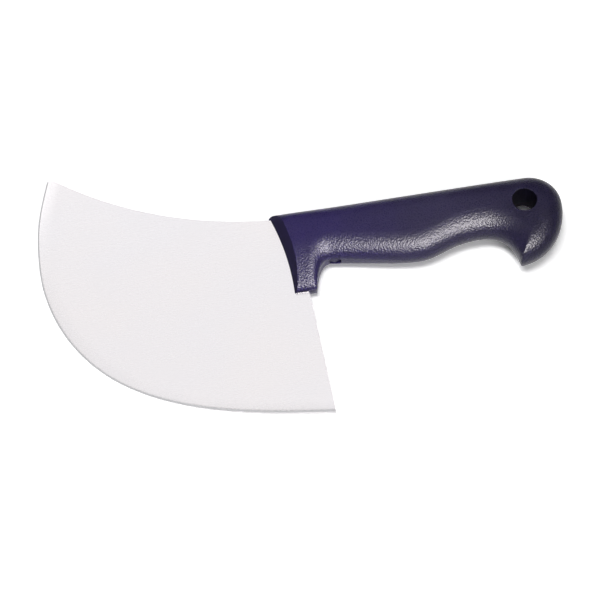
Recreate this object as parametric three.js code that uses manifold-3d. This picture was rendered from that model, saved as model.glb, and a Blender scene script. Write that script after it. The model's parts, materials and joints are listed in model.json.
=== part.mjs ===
// Pastry knife: a crescent blade cut from steel sheet, with a plastic handle moulded round its tang.
// It is drawn flat: x runs along the handle towards the pommel, y towards the spine of the blade
// and z out of the sheet. x = 0 is just behind the handle's front, y = 0 the handle's middle line.
// At the end the knife is laid on its side, the way it comes to rest on a table.
import * as THREE from 'three';
import { ConvexHull } from 'three/addons/math/ConvexHull.js';
import { mergeVertices } from 'three/addons/utils/BufferGeometryUtils.js';
import Module from 'manifold-3d';

// Blade outline, in mm
const SHEET = 2.0; // thickness of the steel
const NOSE_REACH = 119.4; // foremost point of the cutting edge, ahead of the handle
const NOSE_RISE = 8.3;
const TIP_SETBACK = 7.9; // tip, behind the nose
const TIP_DROP = 2.3; // eased tip, below the arc of the spine
const TIP_EASE = 5; // length of spine that is eased down to the tip
const TIP_EDGE_ANGLE = 252.5; // direction in which the edge leaves the tip, in degrees
const ROUND_SETBACK = 32.9; // where the edge turns from the nose to the long sweep, behind the nose
const ROUND_DROP = 59.3;
const ROUND_ANGLE = -37.3; // direction of the edge there, in degrees
const HEEL_SETBACK = 9.9; // heel corner, behind the handle's front
const HEEL_DROP = 89.4;
const HEEL_EDGE_ANGLE = -7; // direction in which the edge reaches the heel, in degrees
const BACK_LEAN = 2.7; // lean of the straight back edge, in degrees
const SPINE_RADIUS = 193; // hollow arc of the spine
const SPINE_RISE = 13.3; // lowest point of that arc, above the middle line
const SPINE_LOW_X = 10.9; // and its place along the handle
const EDGE_PULL = { tip: 18.7, nose: 21, fall: 27.3, round: 25, sweep: 30, heel: 40 }; // curve handles

// Ground edge
const GRIND_WIDTH = 7; // thinned band along the cutting edge
const GRIND_THICKNESS = 0.7; // steel left behind the bevel
const BEVEL_WIDTH = 0.8; // honed bevel
const EDGE_LAND = 0.15; // flat left on the edge itself
const CHEEK_SPLIT = 12; // each cheek is drawn as two flats, parted this far ahead of the handle

// Tang, hidden in the handle
const SHOULDER_X = 7; // where the spine steps down to the tang
const TANG_MIDDLE = -1; // height of the tang's own middle line
const TANG_WIDTH = 16; // at its root
const TANG_END_WIDTH = 12;
const TANG_REACH = 90;
const TANG_FILLET = 4; // at the root
const TANG_END_RADIUS = 4;
const LOCK_HOLE = 7; // holes that the plastic flows through
const LOCK_FIRST = 28;
const LOCK_PITCH = 22;
const LOCK_COUNT = 3;

// Handle outline
const TOP_RISE = 15.1; // straight top edge
const FRONT_RADIUS = 127; // hollow arc of the front edge
const FRONT_HOLLOW_X = -0.5; // deepest point of that hollow
const FRONT_HOLLOW_Y = -24.5;
const GUARD_WIDTH = 10.5; // finger guard, at its end
const GUARD_DROP = 26.9;
const GUARD_BACK_ANGLE = 80; // direction of its back at the end, in degrees
const FINGER_X = 19.6; // first finger's place, behind the guard
const FINGER_DROP = 12.5;
const FINGER_SLOPE = -6.5; // in degrees
const BELLY_X = 61.2;
const BELLY_DROP = 19.1;
const GROOVE_X = 91.8; // little finger's groove
const GROOVE_DROP = 12.6;
const HOOK_X = 108.2; // tip of the hook that stops the hand
const HOOK_DROP = 29.7;
const HOOK_LEAN = 7.3; // of the hook's front, in degrees
const POMMEL_X = 133.6; // end of the handle
const POMMEL_RISE = 0; // and its height
const POMMEL_CORNER = 15.6; // length of the rounded upper corner
const HANDLE_PULL = { guard: 6, finger: 6, palm: 12.7, belly: 10.8, rise: 15.6, groove: 10.7, hook: 10.9 };

// Handle section
const HALF_THICKNESS = 9;
const PARTING_LAND = 0.5; // half of the narrow flat round the outline
const GUARD_WALL = 0.9; // plastic on each side of the sheet at the guard's end
const WEDGE_DROP = 5.2; // thinning of each side down to the guard's end
const WEDGE_START = 3; // the thinning starts this far below the middle
const WEDGE_BELLY = 1.6; // power of its curve, 1 for a straight wedge
const WEDGE_END_X = 32; // the section is full from here on, and square to the handle
const FRONT_RAKE = 27; // slant of the front face, in degrees
const RAKE_LENGTH = 26; // the slant dies out over this length
// Reach of the rounding, in from the outline
const ROUNDING = { brow: 7, top: 9.5, guard: 3, palm: 12.5, groove: 13, hook: 5, pommel: 13 };

// Hang hole and fit
const HANG_HOLE = 11.8;
const HANG_HOLE_X = 115.3;
const CLEARANCE = 0.3; // between steel and plastic

// Fineness of the facets
const EDGE_STEPS = [7, 12, 14];
const SPINE_STEPS = 14;
const HOLE_SIDES = 24;
const STATION_STEPS = { guard: 4, finger: 8, palm: 9, rise: 8, hook: 9, pommel: 13 };
const ACROSS = 16;

// Pose at rest: densities in g/mm3
const STEEL_DENSITY = 7.75e-3;
const PLASTIC_DENSITY = 0.91e-3;
const MOSTLY_DOWN = 0.8; // cosine that tells the knife's flat sides from its rim

// Directions on the drawing, in degrees
const ANGLE_TO_SPINE = 90;
const ANGLE_TO_BLADE = 180;
const ANGLE_TO_EDGE = 270;

const { degToRad, smoothstep, lerp } = THREE.MathUtils;
const point = (x, y) => new THREE.Vector2(x, y);
const heading = (degrees, length) => point(length, 0).rotateAround(point(0, 0), degToRad(degrees));
const wasm = await Module();
wasm.setup();

// A closed mesh from corner positions and triangles, with shared corners merged and slivers dropped
function closedGeometry(positions, triangles) {
  const loose = new THREE.BufferGeometry();
  loose.setAttribute('position', new THREE.Float32BufferAttribute(positions, 3));
  loose.setIndex(triangles);
  const merged = mergeVertices(loose, 1e-4);
  const index = [];
  for (let k = 0; k < merged.index.count; k += 3) {
    const [a, b, c] = [0, 1, 2].map((step) => merged.index.getX(k + step));
    if (a !== b && b !== c && c !== a) index.push(a, b, c);
  }
  merged.setIndex(index);
  return merged;
}

function toSolid(geometry) {
  const bare = geometry.clone();
  bare.deleteAttribute('normal');
  bare.deleteAttribute('uv');
  const merged = mergeVertices(bare, 1e-4);
  const vertProperties = new Float32Array(merged.attributes.position.array);
  const triVerts = new Uint32Array(merged.index.array);
  return new wasm.Manifold(new wasm.Mesh({ numProp: 3, vertProperties, triVerts }));
}

function toGeometry(solid) {
  const { vertProperties, triVerts } = solid.getMesh();
  const geometry = new THREE.BufferGeometry();
  geometry.setAttribute('position', new THREE.BufferAttribute(vertProperties, 3));
  geometry.setIndex(new THREE.BufferAttribute(triVerts, 1));
  return geometry;
}

// Curve between two points, with the direction and length of the handle at each
function bend(a, aWay, aPull, b, bWay, bPull) {
  const pulled = (from, degrees, length) => from.clone().add(heading(degrees, length));
  return new THREE.CubicBezierCurve(a, pulled(a, aWay, aPull), pulled(b, bWay, bPull), b);
}

const backEdgeX = (y) => HEEL_SETBACK - (y + HEEL_DROP) * Math.tan(degToRad(BACK_LEAN));
const spineAngle = (x) => -Math.PI / 2 - Math.asin((SPINE_LOW_X - x) / SPINE_RADIUS);
const spinePoint = (x) => point(x, SPINE_RISE + SPINE_RADIUS * (1 + Math.sin(spineAngle(x))));
const tip = spinePoint(-NOSE_REACH + TIP_SETBACK).sub(point(0, TIP_DROP));

// Cutting edge, from the tip round the nose to the heel
function edgeCurves() {
  const nose = point(-NOSE_REACH, NOSE_RISE);
  const round = point(-NOSE_REACH + ROUND_SETBACK, -ROUND_DROP);
  const heel = point(HEEL_SETBACK, -HEEL_DROP);
  return [
    bend(tip, TIP_EDGE_ANGLE, EDGE_PULL.tip, nose, ANGLE_TO_SPINE, EDGE_PULL.nose),
    bend(nose, ANGLE_TO_EDGE, EDGE_PULL.fall, round, ROUND_ANGLE, -EDGE_PULL.round),
    bend(round, ROUND_ANGLE, EDGE_PULL.sweep, heel, HEEL_EDGE_ANGLE, -EDGE_PULL.heel),
  ];
}

// From the heel up the back edge, round the tang and along the spine to the tip
function backOutline() {
  const [rootTop, rootBottom] = [TANG_MIDDLE + TANG_WIDTH / 2, TANG_MIDDLE - TANG_WIDTH / 2];
  const [endTop, endBottom] = [TANG_MIDDLE + TANG_END_WIDTH / 2, TANG_MIDDLE - TANG_END_WIDTH / 2];
  const rootX = backEdgeX(rootBottom);
  const path = new THREE.Path();
  path.moveTo(HEEL_SETBACK, -HEEL_DROP);
  path.lineTo(backEdgeX(rootBottom - TANG_FILLET), rootBottom - TANG_FILLET);
  path.quadraticCurveTo(rootX, rootBottom, rootX + TANG_FILLET, rootBottom);
  path.lineTo(TANG_REACH - TANG_END_RADIUS, endBottom);
  path.quadraticCurveTo(TANG_REACH, endBottom, TANG_REACH, endBottom + TANG_END_RADIUS);
  path.lineTo(TANG_REACH, endTop - TANG_END_RADIUS);
  path.quadraticCurveTo(TANG_REACH, endTop, TANG_REACH - TANG_END_RADIUS, endTop);
  path.lineTo(SHOULDER_X + TANG_FILLET, rootTop);
  path.quadraticCurveTo(SHOULDER_X, rootTop, SHOULDER_X, rootTop + TANG_FILLET);
  const easeX = tip.x + TIP_EASE;
  path.absarc(SPINE_LOW_X, SPINE_RISE + SPINE_RADIUS, SPINE_RADIUS,
    spineAngle(SHOULDER_X), spineAngle(easeX), true);
  const eased = spinePoint(tip.x + TIP_EASE / 2);
  path.quadraticCurveTo(eased.x, eased.y, tip.x, tip.y);
  return path;
}

const lockCentres = () => Array.from({ length: LOCK_COUNT },
  (_, k) => point(LOCK_FIRST + k * LOCK_PITCH, TANG_MIDDLE));

function circlePoints(centre, diameter) {
  const path = new THREE.Path().absarc(centre.x, centre.y, diameter / 2, 0, 2 * Math.PI, false);
  return path.getPoints(HOLE_SIDES / 2).slice(0, -1);
}

// Points of the blade's outline, counter-clockwise from the tip, with the way in from the ground edge
function bladeOutline() {
  const outline = [];
  edgeCurves().forEach((curve, part) => {
    const steps = EDGE_STEPS[part];
    for (let k = part === 0 ? 0 : 1; k <= steps; k += 1) {
      const ahead = curve.getTangent(k / steps);
      outline.push({ at: curve.getPoint(k / steps), inward: point(-ahead.y, ahead.x) });
    }
  });
  const heel = outline.length - 1;
  const back = backOutline().getPoints(SPINE_STEPS / 2).slice(1, -1);
  back.forEach((at) => outline.push({ at, inward: point(0, 0) }));
  // at the tip and the heel the ground band runs out along the neighbouring sides
  const runOut = (corner, side) => {
    const along = side.clone().sub(corner.at).normalize();
    corner.inward = along.divideScalar(along.dot(corner.inward));
  };
  runOut(outline[heel], back[0]);
  runOut(outline[0], spinePoint(outline[0].at.x + GRIND_WIDTH));
  return { outline, heel };
}

// Sheet blank with its ground edge and lock holes
function bladeGeometry() {
  const { outline, heel } = bladeOutline();
  const positions = [];
  const triangles = [];
  const addLoop = (points, z) => {
    const first = positions.length / 3;
    points.forEach((at) => positions.push(at.x, at.y, z));
    return first;
  };
  const addWall = (upper, lower, count) => {
    for (let k = 0; k < count; k += 1) {
      const next = (k + 1) % count;
      triangles.push(upper + k, lower + k, upper + next, upper + next, lower + k, lower + next);
    }
  };
  const inset = (width) => outline.map(({ at, inward }) => at.clone().addScaledVector(inward, width));
  const levels = [
    [GRIND_WIDTH, SHEET / 2], [BEVEL_WIDTH, GRIND_THICKNESS / 2], [0, EDGE_LAND / 2],
    [0, -EDGE_LAND / 2], [BEVEL_WIDTH, -GRIND_THICKNESS / 2], [GRIND_WIDTH, -SHEET / 2],
  ];
  const loops = levels.map(([width, z]) => addLoop(inset(width), z));
  loops.slice(1).forEach((lower, k) => addWall(loops[k], lower, outline.length));
  const holes = lockCentres().map((centre) => circlePoints(centre, LOCK_HOLE));
  const holeLoops = holes.map((hole) => [addLoop(hole, SHEET / 2), addLoop(hole, -SHEET / 2)]);
  holeLoops.forEach(([upper, lower]) => addWall(lower, upper, HOLE_SIDES));
  // each cheek is two flats: the open one ahead of the handle, and the one that runs into it
  const cheek = inset(GRIND_WIDTH);
  const spineSide = cheek.findIndex((at, k) => k > heel && at.x < -CHEEK_SPLIT);
  const edgeSide = cheek.findLastIndex((at, k) => k < heel && at.x < -CHEEK_SPLIT);
  const order = cheek.map((_, k) => k);
  const exposed = [...order.slice(0, edgeSide + 1), ...order.slice(spineSide)];
  const covered = order.slice(edgeSide, spineSide + 1);
  const addCheek = (rim, holeIndex) => {
    const inner = holeIndex.map((hole) => holes[hole]);
    const faces = THREE.ShapeUtils.triangulateShape(rim.map((k) => cheek[k]), inner);
    [loops[0], loops[5]].forEach((first, side) => {
      const corners = rim.map((k) => first + k);
      holeIndex.forEach((hole) => order.slice(0, HOLE_SIDES)
        .forEach((k) => corners.push(holeLoops[hole][side] + k)));
      faces.forEach(([a, b, c]) => triangles.push(
        ...(side === 0 ? [a, b, c] : [c, b, a]).map((k) => corners[k])));
    });
  };
  addCheek(exposed, []);
  addCheek(covered, holes.map((_, k) => k));
  return closedGeometry(positions, triangles);
}

// Front edge of the handle, a hollow arc
function frontEdge(y) {
  const depth = FRONT_RADIUS - Math.sqrt(FRONT_RADIUS ** 2 - (y - FRONT_HOLLOW_Y) ** 2);
  return FRONT_HOLLOW_X - depth;
}

// Underside of the handle from the guard to the pommel's end, with how far the rounding reaches in
function undersideStations() {
  const guardFront = point(frontEdge(-GUARD_DROP), -GUARD_DROP);
  const guardBack = point(guardFront.x + GUARD_WIDTH, -GUARD_DROP);
  const finger = point(FINGER_X, -FINGER_DROP);
  const belly = point(BELLY_X, -BELLY_DROP);
  const groove = point(GROOVE_X, -GROOVE_DROP);
  const hook = point(HOOK_X, -HOOK_DROP);
  const end = point(POMMEL_X, POMMEL_RISE);
  const pull = HANDLE_PULL;
  const [drop, depth] = [end.x - hook.x, end.y - hook.y];
  const reach = ROUNDING;
  const parts = [
    [new THREE.LineCurve(guardFront, guardBack), STATION_STEPS.guard, reach.guard, reach.guard],
    [bend(guardBack, GUARD_BACK_ANGLE, pull.guard, finger, FINGER_SLOPE, -pull.finger),
      STATION_STEPS.finger, reach.guard, reach.palm],
    [bend(finger, FINGER_SLOPE, pull.palm, belly, ANGLE_TO_BLADE, pull.belly),
      STATION_STEPS.palm, reach.palm, reach.palm],
    [bend(belly, ANGLE_TO_BLADE, -pull.belly, groove, ANGLE_TO_BLADE, pull.rise),
      STATION_STEPS.rise, reach.palm, reach.groove],
    [bend(groove, ANGLE_TO_BLADE, -pull.groove, hook, ANGLE_TO_SPINE + HOOK_LEAN, pull.hook),
      STATION_STEPS.hook, reach.groove, reach.hook],
    [new THREE.EllipseCurve(hook.x, end.y, drop, depth, -Math.PI / 2, 0), STATION_STEPS.pommel,
      reach.pommel, reach.pommel],
  ];
  const stations = [];
  parts.forEach(([curve, steps, from, to], part) => {
    for (let k = part === 0 ? 0 : 1; k <= steps; k += 1) {
      stations.push({ at: curve.getPoint(k / steps), reach: lerp(from, to, k / steps) });
    }
  });
  return stations;
}

// Upper outline: a straight top with a rounded corner down to the pommel's end
function topEdge(x) {
  const along = Math.max(0, x - (POMMEL_X - POMMEL_CORNER)) / POMMEL_CORNER;
  return POMMEL_RISE + (TOP_RISE - POMMEL_RISE) * Math.sqrt(Math.max(0, 1 - along * along));
}

// Half thickness before the outline is rounded: a bellied wedge at the front, full from the palm on
function halfThickness(x, y) {
  const wedge = 1 - smoothstep(x, GUARD_WIDTH, WEDGE_END_X);
  const down = Math.max(0, -y - WEDGE_START) / (GUARD_DROP - WEDGE_START);
  return HALF_THICKNESS - wedge * WEDGE_DROP * down ** WEDGE_BELLY;
}

// Half thickness left at the outline itself
function landAt(x, y) {
  const guardLand = SHEET / 2 + CLEARANCE + GUARD_WALL;
  const towardsGrip = smoothstep(x, GUARD_WIDTH, BELLY_X);
  return y < 0 ? lerp(guardLand, PARTING_LAND, towardsGrip) : PARTING_LAND;
}

// Moulded body: stations across the handle, crowned from the outline inwards, then mirrored
function handleBody() {
  const stations = undersideStations();
  const last = stations.length - 1;
  const lines = stations.map(({ at }) => {
    const straighten = 1 - smoothstep(at.x, 0, WEDGE_END_X);
    const top = topEdge(at.x);
    return Array.from({ length: ACROSS + 1 }, (_, j) => {
      const y = lerp(at.y, top, (1 - Math.cos((Math.PI * j) / ACROSS)) / 2);
      return point(at.x + straighten * (frontEdge(y) - frontEdge(at.y)), y);
    });
  });
  const topReach = (x) => lerp(
    lerp(ROUNDING.brow, ROUNDING.top, smoothstep(x, 0, WEDGE_END_X)),
    ROUNDING.pommel, smoothstep(x, GROOVE_X, POMMEL_X));
  const rim = [];
  const addRim = (a, b, aReach, bReach) => rim.push({ line: [a, b], aReach, bReach });
  for (let i = 0; i < last; i += 1) {
    addRim(lines[i][0], lines[i + 1][0], stations[i].reach, stations[i + 1].reach);
    const [a, b] = [lines[i][ACROSS], lines[i + 1][ACROSS]];
    addRim(a, b, topReach(a.x), topReach(b.x));
  }
  // share of the rounding that a place has climbed, by the nearest stretch of outline
  const climbed = (at) => Math.min(1, ...rim.map(({ line: [a, b], aReach, bReach }) => {
    const way = b.clone().sub(a);
    const share = THREE.MathUtils.clamp(at.clone().sub(a).dot(way) / Math.max(way.lengthSq(), 1e-9), 0, 1);
    return at.distanceTo(a.clone().addScaledVector(way, share)) / lerp(aReach, bReach, share);
  }));
  const height = (at) => {
    const land = landAt(at.x, at.y);
    const crown = Math.sqrt(1 - (1 - climbed(at)) ** 2);
    return land + (Math.max(halfThickness(at.x, at.y), land) - land) * crown;
  };
  const positions = [];
  const add = (x, y, z) => positions.push(x, y, z) / 3 - 1;
  const grid = lines.map((line) => line.map((at) => {
    const z = height(at);
    const behind = at.x - frontEdge(at.y);
    const rake = z * Math.tan(degToRad(FRONT_RAKE)) * (1 - smoothstep(behind, 0, RAKE_LENGTH));
    const [upper, lower] = [z, -z].map((height) => add(at.x + rake, at.y, height));
    return { upper, middle: add(at.x, at.y, 0), lower };
  }));
  const triangles = [];
  const quad = (a, b, c, d) => triangles.push(a, b, c, a, c, d);
  const wall = (a, b) => {
    quad(a.upper, a.middle, b.middle, b.upper);
    quad(a.middle, a.lower, b.lower, b.middle);
  };
  for (let i = 0; i < last; i += 1) {
    for (let j = 0; j < ACROSS; j += 1) {
      const [a, b, c, d] = [grid[i][j], grid[i + 1][j], grid[i + 1][j + 1], grid[i][j + 1]];
      quad(a.upper, b.upper, c.upper, d.upper);
      quad(d.lower, c.lower, b.lower, a.lower);
    }
    wall(grid[i][0], grid[i + 1][0]);
    wall(grid[i + 1][ACROSS], grid[i][ACROSS]);
  }
  for (let j = ACROSS; j > 0; j -= 1) wall(grid[0][j], grid[0][j - 1]);
  return closedGeometry(positions, triangles);
}

// Space for the sheet in the handle: its outline moved out by the clearance, with posts left in the holes
function sheetSpace() {
  const outline = bladeOutline().outline.map(({ at }) => at);
  const grown = outline.map((at, k) => {
    const before = outline[(k + outline.length - 1) % outline.length];
    const after = outline[(k + 1) % outline.length];
    const inWay = at.clone().sub(before).normalize();
    const outWay = after.clone().sub(at).normalize();
    const normal = point(inWay.y + outWay.y, -inWay.x - outWay.x).normalize();
    const mitre = normal.x * outWay.y - normal.y * outWay.x;
    return at.clone().addScaledVector(normal, CLEARANCE / mitre);
  });
  const shape = new THREE.Shape(grown);
  lockCentres().forEach((centre) => {
    shape.holes.push(new THREE.Path(circlePoints(centre, LOCK_HOLE - 2 * CLEARANCE)));
  });
  const depth = SHEET + 2 * CLEARANCE;
  return new THREE.ExtrudeGeometry(shape, { depth, bevelEnabled: false }).translate(0, 0, -depth / 2);
}

function handleGeometry() {
  const through = 4 * HALF_THICKNESS;
  const hole = new THREE.CylinderGeometry(HANG_HOLE / 2, HANG_HOLE / 2, through, HOLE_SIDES)
    .rotateX(Math.PI / 2).translate(HANG_HOLE_X, 0, 0);
  const solid = toSolid(handleBody()).subtract(toSolid(sheetSpace())).subtract(toSolid(hole));
  return toGeometry(solid);
}

// Volume and its first moment, by signed tetrahedra
function bulk(geometry) {
  const { position } = geometry.attributes;
  const [a, b, c] = [new THREE.Vector3(), new THREE.Vector3(), new THREE.Vector3()];
  const moment = new THREE.Vector3();
  let volume = 0;
  for (let k = 0; k < geometry.index.count; k += 3) {
    [a, b, c].forEach((corner, step) => {
      corner.fromBufferAttribute(position, geometry.index.getX(k + step));
    });
    const part = a.dot(b.clone().cross(c)) / 6;
    volume += part;
    moment.addScaledVector(a.clone().add(b).add(c), part / 4);
  }
  return { volume, moment };
}

function corners(geometry) {
  const { position } = geometry.attributes;
  const corner = (_, k) => new THREE.Vector3().fromBufferAttribute(position, k);
  return Array.from({ length: position.count }, corner);
}

// The turn that lays the knife on the face of its hull that lies under its centre of mass
function layingTurn(pieces) {
  const centre = new THREE.Vector3();
  let mass = 0;
  pieces.forEach(({ geometry, density }) => {
    const { volume, moment } = bulk(geometry);
    centre.addScaledVector(moment, density);
    mass += volume * density;
  });
  centre.divideScalar(mass);
  const hull = new ConvexHull().setFromPoints(pieces.flatMap(({ geometry }) => corners(geometry)));
  let resting = { inside: -Infinity, normal: null };
  hull.faces.filter(({ normal }) => normal.z < -MOSTLY_DOWN).forEach((face) => {
    let inside = Infinity;
    let edge = face.edge;
    do {
      const way = edge.head().point.clone().sub(edge.tail().point).normalize();
      const toCentre = centre.clone().sub(edge.tail().point);
      inside = Math.min(inside, way.cross(toCentre).dot(face.normal));
      edge = edge.next;
    } while (edge !== face.edge);
    if (inside > resting.inside) resting = { inside, normal: face.normal };
  });
  const down = new THREE.Vector3(0, 0, -1);
  const lay = new THREE.Quaternion().setFromUnitVectors(resting.normal, down);
  const handleWay = new THREE.Vector3(1, 0, 0).applyQuaternion(lay);
  const square = new THREE.Quaternion().setFromAxisAngle(down, Math.atan2(handleWay.y, handleWay.x));
  return square.multiply(lay);
}

const steel = new THREE.MeshStandardMaterial({ color: 0xdedbdd, roughness: 0.28, metalness: 1 });
const plastic = new THREE.MeshStandardMaterial({ color: 0x2d2947, roughness: 0.45, metalness: 0 });
const pieces = [
  { name: 'blade', geometry: bladeGeometry(), material: steel, density: STEEL_DENSITY },
  { name: 'handle', geometry: handleGeometry(), material: plastic, density: PLASTIC_DENSITY },
];

const knife = new THREE.Group();
pieces.forEach(({ name, geometry, material }) => {
  geometry.computeVertexNormals();
  const mesh = new THREE.Mesh(geometry, material);
  mesh.name = name;
  knife.add(mesh);
});
knife.quaternion.copy(layingTurn(pieces));
const box = new THREE.Box3().setFromObject(knife, true);
const middle = box.getCenter(new THREE.Vector3());
knife.position.set(-middle.x, -middle.y, -box.min.z);

export default knife;
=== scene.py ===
"""Pastry knife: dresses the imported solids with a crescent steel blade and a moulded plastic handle.

The knife is drawn flat, in metres: x along the handle to the pommel, y to the spine, z out of the
sheet. Each piece is then laid on the table as the record says.
"""

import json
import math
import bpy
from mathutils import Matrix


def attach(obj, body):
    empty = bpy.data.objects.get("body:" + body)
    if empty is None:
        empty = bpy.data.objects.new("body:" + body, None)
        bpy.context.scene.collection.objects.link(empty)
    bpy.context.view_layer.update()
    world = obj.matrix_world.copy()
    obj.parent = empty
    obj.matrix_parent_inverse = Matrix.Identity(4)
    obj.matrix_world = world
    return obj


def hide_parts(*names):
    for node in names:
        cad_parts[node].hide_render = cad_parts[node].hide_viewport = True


bl_info = {
    "name": "Pastry Knife",
    "version": (1, 0, 0),
    "blender": (4, 5, 0),
    "location": "View3D > Sidebar > Knife",
    "description": "Models a pastry knife's blade and handle over its solids, and a white studio table",
    "category": "Object",
}

import bmesh
import bpy
import numpy as np
from bpy.props import FloatProperty, FloatVectorProperty, IntProperty, PointerProperty
from mathutils import Matrix, Vector

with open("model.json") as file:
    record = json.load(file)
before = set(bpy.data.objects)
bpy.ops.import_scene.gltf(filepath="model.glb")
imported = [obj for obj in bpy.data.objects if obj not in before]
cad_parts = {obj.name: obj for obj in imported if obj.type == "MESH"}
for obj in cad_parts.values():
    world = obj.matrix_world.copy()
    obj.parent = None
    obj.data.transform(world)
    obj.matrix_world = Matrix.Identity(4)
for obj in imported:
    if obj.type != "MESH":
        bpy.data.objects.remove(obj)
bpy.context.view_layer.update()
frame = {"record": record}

MM = 0.001
MERGE = 2e-6
IMAGE_WIDTH = 600
SENSOR_WIDTH = 36
TABLE_DROP = 0.00005

SHOULDER_X = 0.007
TIP_POINTS = 60
END_BLEND = 0.025
CHEEK_INSET = 0.002
RING_GAP = 2e-4
GRIND_HOLLOW = 1.4

STATION_SHARES = (0.06, 0.14, 0.17, 0.17, 0.19)
GUARD_PULL = 6 * MM
FINGER_PULL = 12.7 * MM
BELLY_PULL = 10.8 * MM
GROOVE_FRONT_PULL = 15.6 * MM
GROOVE_REAR_PULL = 10.7 * MM
HOOK_PULL = 10.9 * MM
FRONT_FACING = -0.6
FRONT_FACES_X = 0.009
FRONT_EDGES_X = 0.006
HOLE_SIDES = 96
HOLE_FLARE = 1.6
GATE_SIDES = 48
GATE_BAR = 8 * MM

LAMP_DISTANCE = 1.6
BOARD_DISTANCE = 1.0
LOW_BOARD_DISTANCE = 1.5
STRIP_DISTANCE = 0.9


def length(name, description, millimetres):
    """A size, written in millimetres."""
    return FloatProperty(
        name=name, description=description, default=millimetres * MM, unit="LENGTH", precision=5)


def angle(name, description, degrees):
    """An angle, written in degrees."""
    return FloatProperty(name=name, description=description, default=math.radians(degrees), subtype="ANGLE")


def share(name, description, value):
    """A number between 0 and 1."""
    return FloatProperty(name=name, description=description, default=value, min=0, max=1, subtype="FACTOR")


def tint(name, description, colour):
    """A linear colour."""
    return FloatVectorProperty(
        name=name, description=description, default=colour, min=0, max=1, subtype="COLOR")


def wattage(name, description, watts):
    """A lamp's power."""
    return FloatProperty(name=name, description=description, default=watts, unit="POWER")


class BladeSettings(bpy.types.PropertyGroup):
    """Sizes and finish of the blade"""

    sheet: length("Sheet", "Thickness of the steel", 2.0)
    nose_reach: length("Nose reach", "Foremost point of the cutting edge, ahead of the handle", 119.4)
    nose_rise: length("Nose rise", "Height of that point", 8.3)
    nose_pull: length("Nose pull", "Fullness of the edge above the nose", 21.0)
    fall_pull: length("Fall pull", "Fullness of the edge below the nose", 27.3)
    tip_setback: length("Tip setback", "Tip, behind the nose", 7.9)
    tip_drop: length("Tip drop", "Eased tip, below the arc of the spine", 2.3)
    tip_ease: length("Tip ease", "Length of spine that is eased down to the tip", 5.0)
    tip_angle: angle("Tip angle", "Direction in which the edge leaves the tip", 252.5)
    tip_pull: length("Tip pull", "Fullness of the edge at the tip", 18.7)
    round_setback: length("Round setback", "Where the edge turns to its long sweep, behind the nose", 32.9)
    round_drop: length("Round drop", "Depth of that place", 59.3)
    round_angle: angle("Round angle", "Direction of the edge there", -37.3)
    round_pull: length("Round pull", "Fullness of the edge ahead of it", 25.0)
    sweep_pull: length("Sweep pull", "Fullness of the edge behind it", 30.0)
    heel_setback: length("Heel setback", "Heel corner, behind the handle's front", 9.9)
    heel_drop: length("Heel drop", "Depth of the heel corner", 89.4)
    heel_angle: angle("Heel angle", "Direction in which the edge reaches the heel", -7)
    heel_pull: length("Heel pull", "Fullness of the edge at the heel", 40.0)
    back_lean: angle("Back lean", "Lean of the straight back edge", 2.7)
    spine_radius: length("Spine radius", "Hollow arc of the spine", 193.0)
    spine_rise: length("Spine rise", "Lowest point of that arc", 13.3)
    spine_low: length("Spine low", "Place of that point along the handle", 10.9)
    grind_width: length("Grind width", "Thinned band along the cutting edge", 7.0)
    grind_thickness: length("Grind thickness", "Steel left behind the bevel", 0.62)
    bevel_width: length("Bevel width", "Honed bevel", 0.8)
    edge_land: length("Edge land", "Flat left on the edge itself", 0.15)
    eased_edge: length("Eased edge", "Broken corner along spine and back", 0.18)
    tang_width: length("Tang width", "Width of the hidden tang", 14.0)
    tang_reach: length("Tang reach", "Length of the hidden tang", 90.0)
    steel: tint("Steel", "Colour of the satin steel", (0.905, 0.872, 0.885))
    steel_cool: tint("Cool steel", "Cooler patches of the steel", (0.89, 0.868, 0.893))
    # The honed colour is darker than the steel: partly the duller ground finish, partly painted shade for the
    # dark line along the edge.
    honed: tint("Honed steel", "Colour of the honed bevel", (0.62, 0.615, 0.63))
    roughness: share("Roughness", "Satin of the polish", 0.27)


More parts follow.
